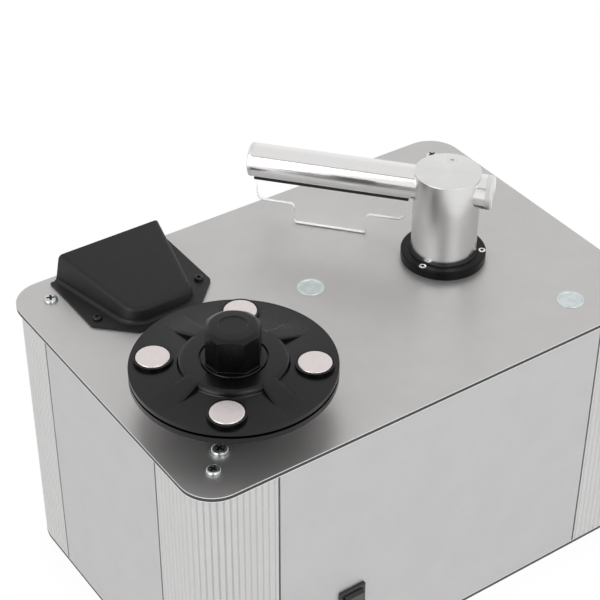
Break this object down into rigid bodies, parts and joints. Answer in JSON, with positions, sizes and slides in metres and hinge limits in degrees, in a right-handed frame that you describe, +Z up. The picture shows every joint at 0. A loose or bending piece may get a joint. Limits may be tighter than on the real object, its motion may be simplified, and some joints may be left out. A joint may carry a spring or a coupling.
{
  "type": "record cleaning machine",
  "caption": "Compact vacuum record cleaning machine: ribbed silver cabinet, label-size platter with magnetic label clamp, swinging suction arm and black exhaust hood.",
  "frame": {"origin": "centre of the overall footprint, on the surface that the feet stand on", "axes": "+X to the machine's right, +Y to its rear, +Z up"},
  "size_m": [0.304, 0.2262, 0.2395],
  "materials": {
    "panel_aluminium": "fine satin anodised sheet",
    "profile_aluminium": "ribbed satin anodised extrusion",
    "infill_aluminium": "satin anodised sheet",
    "foot_rubber": "matte black",
    "zinc_steel": "bright zinc plate",
    "black_steel": "black oxide",
    "chrome_screw": "polished",
    "black_shell": "fine satin grain, black",
    "black_rubber": "soft matte black",
    "nickel_magnet": "nickel plate",
    "bronze_bearing": "turned sintered bronze",
    "nylon": "natural",
    "spindle_steel": "ground",
    "gearbox_alloy": "die cast",
    "motor_steel": "zinc plated can",
    "fan_shell": "pressed and painted",
    "tank_plastic": "translucent natural",
    "arm_aluminium": "brushed around the column",
    "tube_aluminium": "polished",
    "velvet": "short black pile",
    "clear_acrylic": "clear, polished edges",
    "switch_plastic": "smooth black",
    "fitting_plastic": "moulded dark grey",
    "pin_brass": "plated"
  },
  "bodies": {
    "cabinet": {"top_panel": "panel_aluminium", "bottom_panel": "panel_aluminium", "front_left_profile": "profile_aluminium", "front_right_profile": "profile_aluminium", "rear_left_profile": "profile_aluminium", "rear_right_profile": "profile_aluminium", "front_infill": "infill_aluminium", "rear_infill": "infill_aluminium", "left_infill": "infill_aluminium", "right_infill": "infill_aluminium", "feet": "foot_rubber", "foot_screws": "zinc_steel", "panel_screws": "zinc_steel", "panel_plugs": "zinc_steel", "exhaust_hood": "black_shell", "hood_screws": "black_steel", "spindle_bearing": "bronze_bearing", "thrust_washer": "nylon", "drive_standoffs": "zinc_steel", "drive_bracket": "zinc_steel", "drive_washers": "zinc_steel", "drive_screws": "zinc_steel", "drive_gearbox": "gearbox_alloy", "drive_motor": "motor_steel", "arm_guide": "nylon", "arm_collar": "black_shell", "collar_screws": "chrome_screw", "column_wiper": "black_rubber", "arm_stop_plate": "clear_acrylic", "vacuum_mount_ring": "black_rubber", "vacuum_motor": "motor_steel", "fan_housing": "fan_shell", "waste_tank": "tank_plastic", "suction_coupling": "black_rubber", "vacuum_hose": "black_rubber", "drain_spigot": "fitting_plastic", "mains_inlet": "switch_plastic", "inlet_pins": "pin_brass", "vacuum_switch_housing": "switch_plastic", "drive_switch_housing": "switch_plastic"},
    "platter": {"spindle": "spindle_steel", "platter": "black_shell", "platter_seal": "black_rubber", "platter_magnets": "nickel_magnet"},
    "clamp": {"clamp_disc": "black_shell", "clamp_seal": "black_rubber", "clamp_magnets": "nickel_magnet", "clamp_knob": "black_shell", "knob_screws": "black_steel"},
    "swivel": {"swivel_sleeve": "nylon", "lift_spring": "spindle_steel"},
    "arm": {"arm_column": "arm_aluminium", "arm_tube": "tube_aluminium", "tube_end_cap": "tube_aluminium", "tube_rear_plug": "tube_aluminium", "velvet_strips": "velvet", "tube_lock_screw": "chrome_screw"},
    "vacuum_rocker": {"vacuum_rocker": "switch_plastic"},
    "drive_rocker": {"drive_rocker": "switch_plastic"},
    "drain_cap": {"drain_cap": "black_rubber"}
  },
  "joints": [
    {"name": "platter_spin", "type": "hinge", "parent": "cabinet", "child": "platter", "pos_m": [-0.0977, -0.05438, 0.182], "axis": [0, 0, 1], "continuous": true},
    {"name": "clamp_lift", "type": "slide", "parent": "platter", "child": "clamp", "axis": [0, 0, 1], "range_m": [0, 0.04]},
    {"name": "arm_swing", "type": "hinge", "parent": "cabinet", "child": "swivel", "pos_m": [0.0727, -0.00948, 0.182], "axis": [0, 0, 1], "range_deg": [0, 70]},
    {"name": "arm_lift", "type": "slide", "parent": "swivel", "child": "arm", "axis": [0, 0, 1], "range_m": [-0.009, 0], "stiffness_N_per_m": 200, "springref_m": 0.015, "deforming": ["lift_spring"]},
    {"name": "vacuum_switch", "type": "hinge", "parent": "cabinet", "child": "vacuum_rocker", "pos_m": [-0.09, -0.10688, 0.062], "axis": [-1, 0, 0], "range_deg": [0, 16]},
    {"name": "drive_switch", "type": "hinge", "parent": "cabinet", "child": "drive_rocker", "pos_m": [-0.06, -0.10688, 0.062], "axis": [-1, 0, 0], "range_deg": [-8, 8]},
    {"name": "drain_cap_pull", "type": "slide", "parent": "cabinet", "child": "drain_cap", "axis": [0, 1, 0], "range_m": [0, 0.02]}
  ]
}
